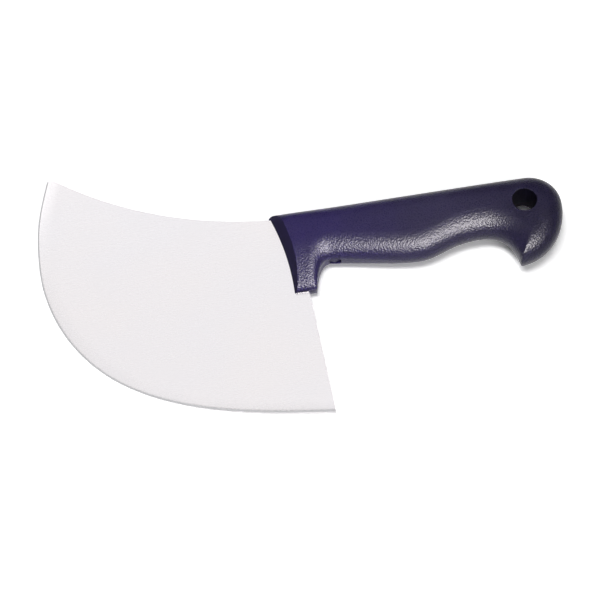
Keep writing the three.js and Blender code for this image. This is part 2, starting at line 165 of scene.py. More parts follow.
class HandleSettings(bpy.types.PropertyGroup):
    """Sizes and finish of the handle"""

    top_rise: length("Top rise", "Height of the straight top edge", 15.1)
    front_radius: length("Front radius", "Hollow arc of the front edge", 127.0)
    front_hollow_x: length("Front hollow", "Deepest point of that hollow, along the handle", -0.5)
    front_hollow_y: length("Front hollow height", "Height of that point", -24.5)
    guard_width: length("Guard width", "Finger guard, at its end", 10.5)
    guard_drop: length("Guard drop", "Depth of the finger guard", 26.9)
    guard_angle: angle("Guard angle", "Direction of the guard's back at its end", 80)
    finger_x: length("Finger place", "First finger's place", 19.6)
    finger_drop: length("Finger drop", "Depth of that place", 12.5)
    finger_slope: angle("Finger slope", "Slope of the underside there", -6.5)
    belly_x: length("Belly place", "Fullest place of the palm", 61.2)
    belly_drop: length("Belly drop", "Depth of that place", 19.1)
    groove_x: length("Groove place", "Little finger's groove", 91.8)
    groove_drop: length("Groove drop", "Depth of that groove", 12.6)
    hook_x: length("Hook place", "Tip of the hook that stops the hand", 108.2)
    hook_drop: length("Hook drop", "Depth of the hook's tip", 29.7)
    hook_lean: angle("Hook lean", "Lean of the hook's front", 7.3)
    pommel_x: length("Pommel end", "End of the handle", 133.58)
    pommel_rise: length("Pommel rise", "Height of that end", 0.0)
    pommel_corner: length("Pommel corner", "Length of the rounded upper corner", 15.6)
    half_thickness: length("Half thickness", "From the sheet's middle to the flat of the side", 8.94)
    parting_land: length("Parting land", "Half of the narrow flat round the outline", 0.5)
    guard_land: length("Guard land", "Half thickness at the guard's end", 2.2)
    wedge_drop: length("Wedge drop", "Thinning of each side down to the guard's end", 5.2)
    wedge_start: length("Wedge start", "Height at which the thinning starts", -3.0)
    wedge_end: length("Wedge end", "Place from which the section is full", 32.0)
    front_rake: angle("Front rake", "Slant of the front face", 27)
    rake_length: length("Rake length", "Length over which the slant dies out", 26.0)
    front_ease: length("Front ease", "Rounding between front face and sides", 0.45)
    round_brow: length("Brow rounding", "Reach of the rounding at the front of the top edge", 7.0)
    round_top: length("Top rounding", "Reach of the rounding along the top edge", 9.5)
    round_guard: length("Guard rounding", "Reach of the rounding at the guard", 3.0)
    round_palm: length("Palm rounding", "Reach of the rounding along the palm", 12.5)
    round_groove: length("Groove rounding", "Reach of the rounding in the little finger's groove", 13.0)
    round_hook: length("Hook rounding", "Reach of the rounding on the hook's front", 5.0)
    round_pommel: length("Pommel rounding", "Reach of the rounding round the pommel", 13.0)
    hole: length("Hang hole", "Diameter of the hang hole", 11.8)
    hole_x: length("Hang hole place", "Place of the hang hole along the handle", 115.3)
    hole_ease: length("Hang hole ease", "Rounding of the hole's rim", 0.25)
    gate: length("Gate well", "Round well on the underside, where the mould was filled", 5.8)
    gate_x: length("Gate place", "Place of that well along the handle", 21.6)
    gate_z: length("Gate height", "Height of its middle above the parting line", -0.3)
    gate_depth: length("Gate depth", "Depth of that well", 1.0)
    stub: length("Stub", "Diameter of the stub left in the well", 1.8)
    stations: IntProperty(name="Stations", description="Fineness along the handle", default=216, min=40)
    across: IntProperty(name="Across", description="Fineness across the handle", default=56, min=12)
    # The middle and rear colours are painted shade: the same plastic darkened towards the pommel, as if the
    # light fell off along the grip.
    plastic: tint("Plastic", "Colour of the moulded plastic at the guard", (0.0242, 0.0179, 0.0733))
    plastic_middle_shaded: tint("Middle plastic", "Its greyer colour along the grip", (0.0252, 0.0213, 0.0513))
    plastic_rear_shaded: tint("Rear plastic", "Its duller colour towards the pommel", (0.0113, 0.0093, 0.0261))
    roughness: share("Roughness", "Gloss of the grained sides", 0.3)
    grain: length("Grain depth", "Depth of the moulded grain", 0.14)


class StageSettings(bpy.types.PropertyGroup):
    """Camera, lamps and table"""

    aim: FloatVectorProperty(
        name="Aim", description="Point the camera looks at", default=(-0.00448, -0.00870, -0.00024),
        subtype="TRANSLATION")
    azimuth: angle("Azimuth", "Side that the camera stands on", -8.23)
    elevation: angle("Elevation", "Height of the camera above the table", 60.44)
    distance: length("Distance", "From the aim to the camera", 900)
    pixel: length("Pixel", "Size of a pixel at the aim, in an image 600 wide", 0.4778)
    table: length("Table", "Side of the table", 6000)
    sky: share("Sky", "Brightness of the room at its brightest side", 0.25)
    horizon: share("Horizon", "Brightness of the room away from that side", 0.02)
    sky_azimuth: angle("Sky azimuth", "Brightest side of the room", 20)
    sky_elevation: angle("Sky elevation", "Height of the brightest side", 50)
    key_power: wattage("Key power", "Main light, over the cutting edge", 9.0)
    key_azimuth: angle("Key azimuth", "Side that the main light stands on", -13)
    key_elevation: angle("Key elevation", "Height of the main light", 74)
    fill_power: wattage("Fill power", "Low, wide light in front of the table", 7.5)
    fill_azimuth: angle("Fill azimuth", "Side that the low light stands on", 12)
    fill_elevation: angle("Fill elevation", "Height of the low light", 45)
    side_power: wattage("Side power", "Light on the side of the blade's nose", 9.5)
    side_azimuth: angle("Side azimuth", "Side that this light stands on", -62)
    side_elevation: angle("Side elevation", "Height of this light", 74)
    board_power: wattage("Board power", "White board that the blade mirrors", 4.9)
    board_elevation: angle("Board elevation", "Height of the white board", 68)
    low_power: wattage("Low board power", "Each of the boards round the table", 5.2)
    low_elevation: angle("Low board elevation", "Height of those boards", 30)
    band_power: wattage("Band power", "Strip light that the grip mirrors", 38)
    band_azimuth: angle("Band azimuth", "Side that the strip light stands on", 28)
    band_elevation: angle("Band elevation", "Height of the strip light", 58)


def smoothstep(value, low, high):
    """Eased step from 0 at low to 1 at high."""
    t = np.clip((value - low) / (high - low), 0, 1)
    return t * t * (3 - 2 * t)


def heading(way):
    """Unit step in a direction of the drawing."""
    return np.array((math.cos(way), math.sin(way)))


def bend(a, a_way, a_pull, b, b_way, b_pull, steps):
    """Points of a curve from a to b, with a direction and a fullness at each end."""
    a, b = np.array(a), np.array(b)
    c, d = a + a_pull * heading(a_way), b + b_pull * heading(b_way)
    t = np.linspace(0, 1, steps + 1)[:, None]
    return (1 - t) ** 3 * a + 3 * (1 - t) ** 2 * t * c + 3 * (1 - t) * t * t * d + t**3 * b


def lying():
    """Matrix from the flat drawing to the table, from the record's mounts."""
    mounts = {mount["name"]: mount for mount in frame["record"]["mounts"]}
    out = Vector(mounts["blade_cheek"]["axis"]).normalized()
    along = Vector((out.z, 0, -out.x)).normalized()
    matrix = Matrix((along, out.cross(along), out)).transposed().to_4x4()
    hole = Vector(mounts["hang_hole"]["pos_m"])
    matrix.translation = hole - bpy.context.scene.knife_handle.hole_x * along
    return matrix


def started(name):
    """Names the primitive that was just added."""
    piece = bpy.context.object
    piece.name = piece.data.name = name
    return piece


def set_points(piece, points):
    """Moves all points of a piece to their places in the drawing."""
    piece.data.vertices.foreach_set("co", np.asarray(points, dtype=np.float32).ravel())
    piece.data.update()


def only(piece):
    """Leaves that piece alone selected and active."""
    bpy.ops.object.select_all(action="DESELECT")
    piece.select_set(True)
    bpy.context.view_layer.objects.active = piece


def clean(piece):
    """Merges doubles, drops empty faces and turns the rest outwards."""
    only(piece)
    bpy.ops.object.mode_set(mode="EDIT")
    bpy.ops.mesh.select_all(action="SELECT")
    bpy.ops.mesh.remove_doubles(threshold=MERGE)
    bpy.ops.mesh.dissolve_degenerate(threshold=1e-7)
    bpy.ops.mesh.normals_make_consistent(inside=False)
    bpy.ops.object.mode_set(mode="OBJECT")


def close_on_sheet(piece, drawn_x):
    """Extrudes the rim of a half shell down to the sheet's middle plane and mirrors the half."""
    drawn = piece.data.attributes.new("drawn_x", "FLOAT", "POINT")
    drawn.data.foreach_set("value", np.asarray(drawn_x, dtype=np.float32).ravel())
    only(piece)
    bpy.ops.object.mode_set(mode="EDIT")
    bpy.ops.mesh.select_mode(type="EDGE")
    bpy.ops.mesh.select_all(action="SELECT")
    bpy.ops.mesh.remove_doubles(threshold=MERGE)
    bpy.ops.mesh.select_all(action="DESELECT")
    bpy.ops.mesh.select_non_manifold(
        use_wire=False, use_multi_face=False, use_non_contiguous=False, use_verts=False)
    bpy.ops.mesh.extrude_edges_move()
    shell = bmesh.from_edit_mesh(piece.data)
    layer = shell.verts.layers.float["drawn_x"]
    for vertex in shell.verts:
        if vertex.select:
            vertex.co = (vertex[layer], vertex.co.y, 0)
    bmesh.update_edit_mesh(piece.data)
    bpy.ops.object.mode_set(mode="OBJECT")
    mirror = piece.modifiers.new("other_side", "MIRROR")
    mirror.use_axis = (False, False, True)
    mirror.merge_threshold = 1e-6
    bpy.ops.object.modifier_apply(modifier=mirror.name)
    piece.data.attributes.remove(piece.data.attributes["drawn_x"])
    clean(piece)


def cut(piece, cutter):
    """Takes a cutter out of a piece, and the cutter out of the scene."""
    only(piece)
    boolean = piece.modifiers.new("cut", "BOOLEAN")
    boolean.operation = "DIFFERENCE"
    boolean.solver = "EXACT"
    boolean.object = cutter
    bpy.ops.object.modifier_apply(modifier=boolean.name)
    bpy.data.objects.remove(cutter)


def lay_down(piece):
    """Turns the piece from the drawing to the table and leaves its object at the origin."""
    only(piece)
    piece.matrix_world = lying()
    bpy.ops.object.transform_apply(location=True, rotation=True, scale=True)


def node(tree, kind, inputs=None, **settings):
    """Adds a shader node, with its inputs set or linked by name or number."""
    made = tree.nodes.new(kind)
    for key, value in settings.items():
        setattr(made, key, value)
    for key, value in (inputs or {}).items():
        if isinstance(value, bpy.types.NodeSocket):
            tree.links.new(value, made.inputs[key])
        else:
            made.inputs[key].default_value = value
    return made


def finish_tree(name):
    """A new material with an empty tree, and the drawing's own coordinates for its patterns."""
    material = bpy.data.materials.new(name)
    material.use_nodes = True
    tree = material.node_tree
    tree.nodes.clear()
    place = lying()
    where = node(tree, "ShaderNodeTexCoord").outputs["Object"]
    turned = node(tree, "ShaderNodeMapping", {"Vector": where, "Location": place.translation,
                  "Rotation": place.to_euler()}, vector_type="TEXTURE")
    return material, tree, turned.outputs["Vector"]


def stretched(tree, where, scale):
    return node(tree, "ShaderNodeMapping", {"Vector": where, "Scale": scale}).outputs["Vector"]


def noise(tree, where, scale, detail=2.0, roughness=0.5):
    inputs = {"Vector": where, "Scale": scale, "Detail": detail, "Roughness": roughness}
    return node(tree, "ShaderNodeTexNoise", inputs).outputs["Fac"]


def ranged(tree, value, low, high, out_low, out_high):
    inputs = {"Value": value, "From Min": low, "From Max": high, "To Min": out_low, "To Max": out_high}
    return node(tree, "ShaderNodeMapRange", inputs).outputs["Result"]


def mixed(tree, factor, first, second):
    first, second = (
        colour if isinstance(colour, bpy.types.NodeSocket) else (*colour, 1) for colour in (first, second))
    return node(tree, "ShaderNodeMix", {0: factor, 6: first, 7: second}, data_type="RGBA").outputs[2]


def bumped(tree, height, distance, normal=None):
    inputs = {"Height": height, "Distance": distance, "Strength": 1.0}
    if normal is not None:
        inputs["Normal"] = normal
    return node(tree, "ShaderNodeBump", inputs).outputs["Normal"]


def surfaced(tree, inputs):
    shader = node(tree, "ShaderNodeBsdfPrincipled", inputs)
    node(tree, "ShaderNodeOutputMaterial", {"Surface": shader.outputs["BSDF"]})


def satin_steel(settings):
    """Polished sheet with faint lengthwise lines and a slight drift of colour."""
    material, tree, where = finish_tree("satin_steel")
    drift = noise(tree, stretched(tree, where, (14, 22, 22)), 1.0, 3.0)
    lines = noise(tree, stretched(tree, where, (90, 3600, 3600)), 1.0, 3.0, 0.6)
    cloud = noise(tree, where, 60.0, 2.0)
    rough = node(tree, "ShaderNodeMath", {
        0: ranged(tree, lines, 0.3, 0.7, settings.roughness - 0.02, settings.roughness + 0.02),
        1: ranged(tree, cloud, 0.3, 0.7, -0.015, 0.015)}, operation="ADD").outputs[0]
    cool = ranged(tree, drift, 0.35, 0.65, 0, 1)
    surfaced(tree, {
        "Base Color": mixed(tree, cool, settings.steel, settings.steel_cool),
        "Metallic": 1.0,
        "Roughness": rough,
        "Normal": bumped(tree, lines, 0.0000002),
    })
    return material


def honed_steel_edge_shade(settings):
    """Ground bevel, duller than the cheeks, with fine marks across the edge; its darker colour is partly the
    ground finish and partly painted shade for the dark line along the cutting edge.
    """
    material, tree, where = finish_tree("honed_steel_edge_shade")
    marks = noise(tree, stretched(tree, where, (2600, 2600, 400)), 1.0, 3.0, 0.6)
    surfaced(tree, {
        "Base Color": mixed(tree, marks, settings.honed, [0.9 * c for c in settings.honed]),
        "Metallic": 0.5,
        "Roughness": ranged(tree, marks, 0.3, 0.7, 0.38, 0.50),
        "Normal": bumped(tree, marks, 0.000003),
    })
    return material


def plastic_colour_painted_falloff(tree, where, settings, cloud, depth=1.0):
    """Colour of the plastic, slightly cloudy, and darker towards the pommel by painted shade, as if the light
    fell off along the grip.
    """
    along = node(tree, "ShaderNodeSeparateXYZ", {"Vector": where}).outputs["X"]
    place = node(tree, "ShaderNodeMath", {
        0: along, 1: ranged(tree, cloud, 0.35, 0.65, -0.005, 0.005)}, operation="ADD").outputs[0]
    # A depth below 1 darkens all three colours as painted shade; the front face uses it.
    colours = [[depth * part for part in colour] for colour in (
        settings.plastic, settings.plastic_middle_shaded, settings.plastic_rear_shaded)]
    # Painted shade: the colour darkens from the guard to the pommel, as if the light fell off along the grip.
    front = mixed(tree, ranged(tree, place, 0.02, 0.07, 0, 1), colours[0], colours[1])
    return mixed(tree, ranged(tree, place, 0.075, 0.128, 0, 1), front, colours[2])


def grained_plastic(settings):
    """Moulded plastic with a fine eroded grain and a witness line where the mould parts."""
    material, tree, where = finish_tree("grained_plastic")
    pits = node(tree, "ShaderNodeTexVoronoi", {"Vector": where, "Scale": 1250.0, "Smoothness": 0.3},
                feature="SMOOTH_F1").outputs["Distance"]
    fine = noise(tree, where, 3300.0, 1.0)
    cloud = noise(tree, where, 55.0, 3.0)
    apart = node(tree, "ShaderNodeSeparateXYZ", {"Vector": where}).outputs["Z"]
    off_line = node(tree, "ShaderNodeMath", {0: apart}, operation="ABSOLUTE").outputs[0]
    witness = node(tree, "ShaderNodeMapRange", {"Value": off_line, "From Min": 0.00008, "From Max": 0.00022,
                   "To Min": 1.0, "To Max": 0.0}, interpolation_type="SMOOTHSTEP").outputs["Result"]
    normal = bumped(tree, pits, settings.grain)
    normal = bumped(tree, fine, settings.grain * 0.25, normal=normal)
    normal = bumped(tree, witness, 0.00006, normal=normal)
    surfaced(tree, {
        "Base Color": plastic_colour_painted_falloff(tree, where, settings, cloud),
        "Roughness": ranged(tree, pits, 0.2, 0.7, settings.roughness - 0.04, settings.roughness + 0.04),
        "Specular IOR Level": 0.2,
        "Normal": normal,
    })
    return material


def smooth_plastic_shaded(settings):
    """The same plastic where the mould is polished, on the front face, with its colour halved as painted
    shade for a face turned away from the light.
    """
    material, tree, where = finish_tree("smooth_plastic_shaded")
    cloud = noise(tree, where, 70.0, 3.0)
    ripple = noise(tree, where, 420.0, 2.0)
    surfaced(tree, {
        # Half depth: painted shade, for a face that is turned away from the light.
        "Base Color": plastic_colour_painted_falloff(tree, where, settings, cloud, 0.5),
        "Roughness": ranged(tree, cloud, 0.3, 0.7, 0.27, 0.33),
        "Specular IOR Level": 0.05,
        "Normal": bumped(tree, ripple, 0.000012),
    })
    return material


def bore_plastic_shaded(settings):
    """The same plastic on the wall of the hang hole, dull from the core pin, and at half the rear colour as
    painted shade, so that the hole reads dark.
    """
    material, tree, where = finish_tree("bore_plastic_shaded")
    streaks = noise(tree, stretched(tree, where, (900, 900, 120)), 1.0, 2.0)
    # Painted shade: the rear colour halved, for the shade inside the hang hole.
    rear = [0.5 * part for part in settings.plastic_rear_shaded]
    streaked = ranged(tree, streaks, 0.35, 0.65, 0, 1)
    surfaced(tree, {
        "Base Color": mixed(tree, streaked, rear, [0.85 * part for part in rear]),
        "Roughness": ranged(tree, streaks, 0.3, 0.7, 0.6, 0.7),
        "Specular IOR Level": 0.03,
        "Normal": bumped(tree, streaks, 0.00001),
    })
    return material


def spine_height(blade, x):
    """Height of the spine's arc at a place along the handle."""
    radius = blade.spine_radius
    return blade.spine_rise + radius - np.sqrt(radius**2 - (x - blade.spine_low) ** 2)


def back_edge(blade, y):
    """Place of the straight back edge at a height."""
    return blade.heel_setback - (y + blade.heel_drop) * math.tan(blade.back_lean)


def cutting_edge(blade):
    """Points of the cutting edge, from the tip round the nose to the heel."""
    tip_x = blade.tip_setback - blade.nose_reach
    tip = (tip_x, spine_height(blade, tip_x) - blade.tip_drop)
    nose = (-blade.nose_reach, blade.nose_rise)
    turn = (blade.round_setback - blade.nose_reach, -blade.round_drop)
    heel = (blade.heel_setback, -blade.heel_drop)
    up, down = math.pi / 2, -math.pi / 2
    return np.vstack((
        bend(tip, blade.tip_angle, blade.tip_pull, nose, up, blade.nose_pull, 36)[:-1],
        bend(nose, down, blade.fall_pull, turn, blade.round_angle, -blade.round_pull, 52)[:-1],
        bend(turn, blade.round_angle, blade.sweep_pull, heel, blade.heel_angle, -blade.heel_pull, 60),
    ))


def eased_spine(blade):
    """Points of the spine, from the tip to the handle."""
    tip_x = blade.tip_setback - blade.nose_reach
    tip = np.array((tip_x, spine_height(blade, tip_x) - blade.tip_drop))
    middle_x, eased_x = tip_x + blade.tip_ease / 2, tip_x + blade.tip_ease
    middle = np.array((middle_x, spine_height(blade, middle_x)))
    eased = np.array((eased_x, spine_height(blade, eased_x)))
    t = np.linspace(0, 1, 25)[:, None]
    nose = (1 - t) ** 2 * tip + 2 * (1 - t) * t * middle + t * t * eased
    along = np.linspace(eased_x, SHOULDER_X, 110)[1:]
    return np.vstack((nose, np.column_stack((along, spine_height(blade, along)))))


def blade_rings(blade):
    """Rings of the ground band, from the edge inwards, and the outline of the flat cheek behind them."""
    edge = cutting_edge(blade)
    spine = eased_spine(blade)
    ahead = np.gradient(edge, axis=0)
    ahead /= np.linalg.norm(ahead, axis=1)[:, None]
    inward = np.column_stack((-ahead[:, 1], ahead[:, 0]))
    run = np.concatenate(([0], np.cumsum(np.linalg.norm(np.diff(edge, axis=0), axis=1))))
    half, behind = blade.sheet / 2, blade.grind_thickness / 2
    band = blade.grind_width - blade.bevel_width
    insets = [0, blade.bevel_width]
    insets += [blade.bevel_width + band * part for part in (0.12, 0.28, 0.46, 0.64, 0.82, 1.0)]
    insets.append(blade.grind_width + CHEEK_INSET)
    heights = [blade.edge_land / 2] + [
        half - (half - behind) * max(0, (blade.grind_width - inset) / band) ** GRIND_HOLLOW
        for inset in insets[1:]]
    depth = (spine - edge[0]) @ inward[0]
    back_way = np.array((-math.sin(blade.back_lean), math.cos(blade.back_lean)))
    rings = []
    for inset in insets:
        first = np.array([
            np.interp(inset, depth[:TIP_POINTS], spine[:TIP_POINTS, side]) for side in (0, 1)])
        last = edge[-1] + back_way * inset / (back_way @ inward[-1])
        ring = edge + inset * inward
        ring += (first - ring[0]) * np.clip(1 - run / END_BLEND, 0, 1)[:, None]
        ring += (last - ring[-1]) * np.clip(1 - (run[-1] - run) / END_BLEND, 0, 1)[:, None]
        rings.append(ring)
    rest = spine[depth > insets[-1] + RING_GAP]
    low, high = -blade.tang_width / 2, blade.tang_width / 2
    tang = np.array((
        (back_edge(blade, low), low), (blade.tang_reach, low),
        (blade.tang_reach, high), (SHOULDER_X, high)))
    outline = np.vstack((rings[-1], tang, rest[::-1]))
    return np.array(rings), np.array(heights), outline


class KNIFE_OT_blade(bpy.types.Operator):
    """Models the crescent blade with its ground edge, and the tang that the handle hides"""

    bl_idname = "knife.blade"
    bl_label = "Blade"

    def execute(self, context):
        blade = context.scene.knife_blade
        rings, heights, outline = blade_rings(blade)
        count, steps = len(rings), rings.shape[1]
        bpy.ops.object.select_all(action="DESELECT")
        bpy.ops.mesh.primitive_circle_add(vertices=len(outline), radius=0.1, fill_type="NGON")
        cheek = started("cheek")
        set_points(cheek, np.column_stack((outline, np.full(len(outline), heights[-1]))))
        bpy.ops.object.select_all(action="DESELECT")
        bpy.ops.mesh.primitive_grid_add(x_subdivisions=steps - 1, y_subdivisions=count - 1, size=2)
        band = started("crescent_blade")
        drawn = np.array([vertex.co for vertex in band.data.vertices])
        column = np.rint((drawn[:, 0] + 1) / 2 * (steps - 1)).astype(int)
        row = np.rint((drawn[:, 1] + 1) / 2 * (count - 1)).astype(int)
        set_points(band, np.column_stack((rings[row, column], heights[row])))
        cheek.select_set(True)
        bpy.ops.object.join()
        close_on_sheet(band, [vertex.co.x for vertex in band.data.vertices])
        self.ease_corners(band, blade)
        band.data.materials.append(satin_steel(blade))
        band.data.materials.append(honed_steel_edge_shade(blade))
        edge = cutting_edge(blade)
        edge = np.vstack((edge, (edge[1:] + edge[:-1]) / 2))
        for face in band.data.polygons:
            off = np.linalg.norm(edge - np.array(face.center[:2]), axis=1).min()
            thin = abs(face.center.z) < blade.grind_thickness / 2
            face.material_index = int(off < blade.bevel_width and thin)
        only(band)
        bpy.ops.object.shade_smooth_by_angle(angle=math.radians(9))
        lay_down(band)
        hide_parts("blade")
        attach(band, "root")
        return {"FINISHED"}

    def ease_corners(self, band, blade):
        """Breaks the corners along the spine and the back edge."""
        only(band)
        bpy.ops.object.mode_set(mode="EDIT")
        bpy.ops.mesh.select_mode(type="EDGE")
        bpy.ops.mesh.select_all(action="DESELECT")
        shape = bmesh.from_edit_mesh(band.data)
        for line in shape.edges:
            flat = all(abs(abs(vertex.co.z) - blade.sheet / 2) < 1e-6 for vertex in line.verts)
            line.select = flat and line.calc_face_angle(0) > math.radians(60)
        shape.select_flush_mode()
        bmesh.update_edit_mesh(band.data)
        bpy.ops.mesh.bevel(
            offset=blade.eased_edge, segments=2, profile=0.5, affect="EDGES", clamp_overlap=True)
        bpy.ops.object.mode_set(mode="OBJECT")


def front_edge(handle, y):
    """Place of the hollow front edge at a height."""
    radius = handle.front_radius
    return handle.front_hollow_x - radius + np.sqrt(radius**2 - (y - handle.front_hollow_y) ** 2)


def top_edge(handle, x):
    """Height of the top edge, with the pommel's rounded corner."""
    along = np.clip((x - handle.pommel_x + handle.pommel_corner) / handle.pommel_corner, 0, 1)
    return handle.pommel_rise + (handle.top_rise - handle.pommel_rise) * np.sqrt(1 - along**2)


def underside(handle):
    """Points of the underside from the guard to the pommel's end, and how far the rounding reaches in."""
    front = np.array((front_edge(handle, -handle.guard_drop), -handle.guard_drop))
    back = front + (handle.guard_width, 0)
    finger = (handle.finger_x, -handle.finger_drop)
    belly = (handle.belly_x, -handle.belly_drop)
    groove = (handle.groove_x, -handle.groove_drop)
    hook = (handle.hook_x, -handle.hook_drop)
    steps = [round(handle.stations * part) for part in STATION_SHARES]
    steps.append(handle.stations - sum(steps))
    turn = np.linspace(-math.pi / 2, 0, steps[5] + 1)
    pommel = np.column_stack((
        handle.hook_x + (handle.pommel_x - handle.hook_x) * np.cos(turn),
        handle.pommel_rise + (handle.pommel_rise + handle.hook_drop) * np.sin(turn)))
    upright = math.pi / 2 + handle.hook_lean
    guard, palm, round_groove = handle.round_guard, handle.round_palm, handle.round_groove
    parts = (
        (np.linspace(front, back, steps[0] + 1), guard, guard, 1),
        (bend(back, handle.guard_angle, GUARD_PULL, finger, handle.finger_slope, -GUARD_PULL, steps[1]),
         guard, palm, 1),
        (bend(finger, handle.finger_slope, FINGER_PULL, belly, math.pi, BELLY_PULL, steps[2]),
         palm, palm, 1),
        (bend(belly, 0, BELLY_PULL, groove, math.pi, GROOVE_FRONT_PULL, steps[3]),
         palm, round_groove, 1),
        (bend(groove, 0, GROOVE_REAR_PULL, hook, upright, HOOK_PULL, steps[4]),
         round_groove, handle.round_hook, 2.5),
        (pommel, 0.7 * handle.round_pommel, handle.round_pommel, 0.6),
    )
    points, reach = [parts[0][0][:1]], [[guard]]
    for line, start, end, delay in parts:
        points.append(line[1:])
        reach.append(start + (end - start) * np.linspace(0, 1, len(line))[1:] ** delay)
    return np.vstack(points), np.concatenate(reach)


def handle_shell(handle):
    """Places of the upper half's grid: drawn x, y, height, and x with the front's slant."""
    line, reach = underside(handle)
    straighten = 1 - smoothstep(line[:, 0], 0, handle.wedge_end)
    rise = (1 - np.cos(np.linspace(0, math.pi, handle.across + 1))) / 2
    y = line[:, 1:] + (top_edge(handle, line[:, 0]) - line[:, 1])[:, None] * rise
    hollow = front_edge(handle, y) - front_edge(handle, line[:, 1])[:, None]
    x = line[:, :1] + straighten[:, None] * hollow
    top = np.column_stack((x[:, -1], y[:, -1]))
    past_brow = smoothstep(top[:, 0], 0, handle.wedge_end)
    past_groove = smoothstep(top[:, 0], handle.groove_x, handle.pommel_x)
    brow = handle.round_brow + (handle.round_top - handle.round_brow) * past_brow
    top_reach = brow + (handle.round_pommel - brow) * past_groove
    climbed = np.ones(x.shape)
    for rim, rim_reach in ((line, reach), (top, top_reach)):
        for a, b, a_reach, b_reach in zip(rim[:-1], rim[1:], rim_reach[:-1], rim_reach[1:]):
            way = b - a
            part = np.clip(((x - a[0]) * way[0] + (y - a[1]) * way[1]) / max(way @ way, 1e-14), 0, 1)
            off = np.hypot(x - a[0] - part * way[0], y - a[1] - part * way[1])
            climbed = np.minimum(climbed, off / (a_reach + part * (b_reach - a_reach)))
    wedge = 1 - smoothstep(x, handle.guard_width, handle.wedge_end)
    down = np.maximum(0, handle.wedge_start - y) / (handle.wedge_start + handle.guard_drop)
    half = handle.half_thickness - wedge * handle.wedge_drop * down**1.6
    grip = smoothstep(x, handle.guard_width, handle.belly_x)
    lower_land = handle.guard_land + (handle.parting_land - handle.guard_land) * grip
    land = np.where(y < 0, lower_land, handle.parting_land)
    height = land + (np.maximum(half, land) - land) * np.sqrt(1 - (1 - climbed) ** 2)
    behind = x - front_edge(handle, y)
    slant = height * math.tan(handle.front_rake) * (1 - smoothstep(behind, 0, handle.rake_length))
    return x, y, height, x + slant


def hole_cutter(handle):
    """A round bar that flares at both faces of the handle, to leave an eased rim."""
    radius, ease, face = handle.hole / 2, handle.hole_ease, handle.half_thickness
    turn = np.linspace(0, math.pi / 2, 6)
    flare = [(radius + ease * (1 - math.cos(t)), face - HOLE_FLARE * ease + ease * math.sin(t)) for t in turn]
    profile = flare + [(radius + HOLE_FLARE * ease, 2 * face)]
    profile = [(r, -z) for r, z in profile[::-1]] + profile
    bpy.ops.object.select_all(action="DESELECT")
    bpy.ops.mesh.primitive_circle_add(
        vertices=HOLE_SIDES, radius=profile[0][0], fill_type="NGON",
        location=(handle.hole_x, 0, profile[0][1]))
    bar = started("hole_cutter")
    bpy.ops.object.mode_set(mode="EDIT")
    for (r0, z0), (r1, z1) in zip(profile[:-1], profile[1:]):
        bpy.ops.mesh.extrude_region_move(TRANSFORM_OT_translate={"value": (0, 0, z1 - z0)})
        bpy.ops.transform.resize(
            value=(r1 / r0, r1 / r0, 1), center_override=(handle.hole_x, 0, z1))
    bpy.ops.mesh.select_all(action="SELECT")
    bpy.ops.mesh.normals_make_consistent(inside=False)
    bpy.ops.object.mode_set(mode="OBJECT")
    return bar


def gate_cutter(handle):
    """A short bar that sinks the gate well into the underside and leaves a stub in its middle."""
    line, _ = underside(handle)
    under = slice(handle.stations // 10, handle.stations // 2)
    floor = np.interp(handle.gate_x, line[under, 0], line[under, 1]) + handle.gate_depth
    bpy.ops.object.select_all(action="DESELECT")
    bpy.ops.mesh.primitive_cylinder_add(
        vertices=GATE_SIDES, radius=handle.gate / 2, depth=GATE_BAR,
        location=(handle.gate_x, floor - GATE_BAR / 2, handle.gate_z), rotation=(math.pi / 2, 0, 0))
    bar = started("gate_cutter")
    bpy.ops.object.transform_apply(location=True, rotation=True, scale=True)
    bpy.ops.object.mode_set(mode="EDIT")
    bpy.ops.mesh.select_mode(type="FACE")
    bpy.ops.mesh.select_all(action="DESELECT")
    shape = bmesh.from_edit_mesh(bar.data)
    for face in shape.faces:
        face.select = face.normal.y > 0.9
    shape.select_flush_mode()
    bmesh.update_edit_mesh(bar.data)
    bpy.ops.mesh.inset(thickness=(handle.gate - handle.stub) / 2)
    bpy.ops.transform.translate(value=(0, -0.6 * handle.gate_depth, 0))
    bpy.ops.object.mode_set(mode="OBJECT")
    return bar


